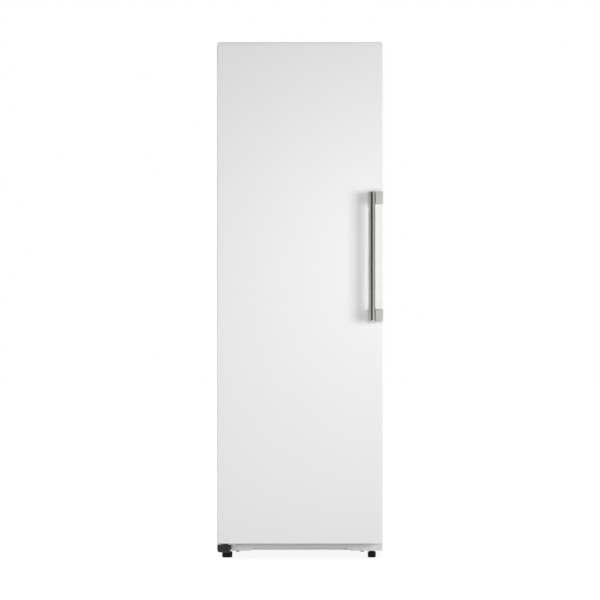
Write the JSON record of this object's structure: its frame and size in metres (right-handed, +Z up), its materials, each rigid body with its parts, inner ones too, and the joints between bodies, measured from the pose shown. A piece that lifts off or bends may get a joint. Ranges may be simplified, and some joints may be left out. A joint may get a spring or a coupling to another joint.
{
  "type": "upright freezer",
  "caption": "Tall white upright freezer with one hinged door, long bar handle, clear drawers and flaps inside, and a compressor bay at the back.",
  "frame": {"origin": "on the floor under the middle of the freezer's bounding box", "axes": "+Z up, the door faces -Y, +X to the right of someone facing the door, handle on the right"},
  "size_m": [0.595, 0.72, 1.855],
  "materials": {
    "white_steel": "white enamel, satin",
    "galvanised_steel": "galvanised sheet, dull",
    "foam": "polyurethane foam, matt",
    "white_plastic": "white styrene, satin",
    "grey_plastic": "grey moulding, matt",
    "black_plastic": "black moulding, matt",
    "black_steel": "black paint, satin",
    "black_rubber": "moulded rubber, matt",
    "grey_rubber": "soft grey profile, matt",
    "copper": "copper tube, drawn",
    "aluminium": "mill finish",
    "heater_glass": "quartz tube",
    "clear_glass": "tempered, clear",
    "clear_plastic": "clear styrene, glossy",
    "zinc_steel": "zinc plated",
    "brushed_steel": "brushed along its length"
  },
  "bodies": {
    "cabinet": {"outer_shell": "white_steel", "back_panel": "galvanised_steel", "cabinet_foam": "foam", "inner_liner": "white_plastic", "front_cross_member": "white_steel", "cross_member_plugs": "white_plastic", "kick_plate": "white_plastic", "base_pan": "galvanised_steel", "bay_cover": "grey_plastic", "compressor": "black_steel", "compressor_grommets": "black_rubber", "relay_box": "black_plastic", "evaporating_tray": "grey_plastic", "filter_drier": "copper", "copper_lines": "copper", "condenser_coils": "copper", "evaporator_coil": "aluminium", "evaporator_fins": "aluminium", "defrost_heater": "heater_glass", "drip_trough": "grey_plastic", "duct_panel": "white_plastic", "fan_motor": "black_plastic", "shelf_glasses": "clear_glass", "shelf_trims": "white_plastic", "control_panel": "white_plastic", "ceiling_lamp": "clear_plastic", "top_hinge": "zinc_steel", "top_hinge_cover": "white_plastic", "bottom_hinge": "zinc_steel", "bottom_hinge_cover": "black_plastic", "roller_axles": "zinc_steel", "cabinet_screws": "zinc_steel", "rear_spacers": "black_plastic", "cord_gland": "black_rubber"},
    "door": {"door_skin": "white_steel", "door_foam": "foam", "door_liner": "white_plastic", "door_gasket": "grey_rubber", "door_top_cap": "white_plastic", "door_bottom_cap": "white_plastic", "hinge_bushes": "black_plastic", "door_stop": "white_plastic", "handle_bar": "brushed_steel", "handle_brackets": "brushed_steel", "handle_screws": "zinc_steel"},
    "lower_flap": {"flap_lower": "clear_plastic"},
    "upper_flap": {"flap_upper": "clear_plastic"},
    "fan": {"fan_blades": "white_plastic"},
    "knob": {"temperature_knob": "grey_plastic"},
    "button": {"fast_freeze_button": "grey_plastic"},
    "left_foot": {"front_foot_left": "black_plastic"},
    "right_foot": {"front_foot_right": "black_plastic"},
    "left_roller": {"rear_roller_left": "black_plastic"},
    "right_roller": {"rear_roller_right": "black_plastic"},
    "bin_1": {"drawer_1": "clear_plastic"},
    "bin_2": {"drawer_2": "clear_plastic"},
    "bin_3": {"drawer_3": "clear_plastic"},
    "bin_4": {"drawer_4": "clear_plastic"},
    "bin_5": {"drawer_5": "clear_plastic"}
  },
  "joints": [
    {"name": "door_swing", "type": "hinge", "parent": "cabinet", "child": "door", "pos_m": [-0.2845, -0.27, 0.9], "axis": [0, 0, -1], "range_deg": [0, 115]},
    {"name": "drawer_1_slide", "type": "slide", "parent": "cabinet", "child": "bin_1", "axis": [0, -1, 0], "range_m": [0, 0.3]},
    {"name": "drawer_2_slide", "type": "slide", "parent": "cabinet", "child": "bin_2", "axis": [0, -1, 0], "range_m": [0, 0.3]},
    {"name": "drawer_3_slide", "type": "slide", "parent": "cabinet", "child": "bin_3", "axis": [0, -1, 0], "range_m": [0, 0.3]},
    {"name": "drawer_4_slide", "type": "slide", "parent": "cabinet", "child": "bin_4", "axis": [0, -1, 0], "range_m": [0, 0.3]},
    {"name": "drawer_5_slide", "type": "slide", "parent": "cabinet", "child": "bin_5", "axis": [0, -1, 0], "range_m": [0, 0.3]},
    {"name": "lower_flap_hinge", "type": "hinge", "parent": "cabinet", "child": "lower_flap", "pos_m": [0, -0.2045, 1.484], "axis": [-1, 0, 0], "range_deg": [0, 85]},
    {"name": "upper_flap_hinge", "type": "hinge", "parent": "cabinet", "child": "upper_flap", "pos_m": [0, -0.2045, 1.717], "axis": [-1, 0, 0], "range_deg": [0, 85]},
    {"name": "fan_spin", "type": "hinge", "parent": "cabinet", "child": "fan", "pos_m": [0, 0.236, 0.72], "axis": [0, 1, 0], "continuous": true},
    {"name": "knob_turn", "type": "hinge", "parent": "cabinet", "child": "knob", "pos_m": [-0.09, -0.222, 1.753], "axis": [0, 1, 0], "range_deg": [0, 270]},
    {"name": "button_press", "type": "slide", "parent": "cabinet", "child": "button", "axis": [0, 1, 0], "range_m": [0, 0.0015], "stiffness_N_per_m": 400},
    {"name": "left_foot_turn", "type": "hinge", "parent": "cabinet", "child": "left_foot", "pos_m": [-0.263, -0.222, 0], "axis": [0, 0, 1], "range_deg": [-720, 720]},
    {"name": "right_foot_turn", "type": "hinge", "parent": "cabinet", "child": "right_foot", "pos_m": [0.2595, -0.222, 0], "axis": [0, 0, 1], "range_deg": [-720, 720]},
    {"name": "left_roller_spin", "type": "hinge", "parent": "cabinet", "child": "left_roller", "pos_m": [-0.2675, 0.3, 0.017], "axis": [1, 0, 0], "continuous": true},
    {"name": "right_roller_spin", "type": "hinge", "parent": "cabinet", "child": "right_roller", "pos_m": [0.2675, 0.3, 0.017], "axis": [1, 0, 0], "continuous": true}
  ],
  "couplings": [
    {"joint": "drawer_1_slide", "follows": "door_swing", "m_per_rad": 0.09},
    {"joint": "drawer_2_slide", "follows": "door_swing", "m_per_rad": 0.08},
    {"joint": "drawer_3_slide", "follows": "door_swing", "m_per_rad": 0.07},
    {"joint": "drawer_4_slide", "follows": "door_swing", "m_per_rad": 0.06},
    {"joint": "drawer_5_slide", "follows": "door_swing", "m_per_rad": 0.05},
    {"joint": "lower_flap_hinge", "follows": "door_swing", "ratio": 0.45},
    {"joint": "upper_flap_hinge", "follows": "door_swing", "ratio": 0.45}
  ]
}
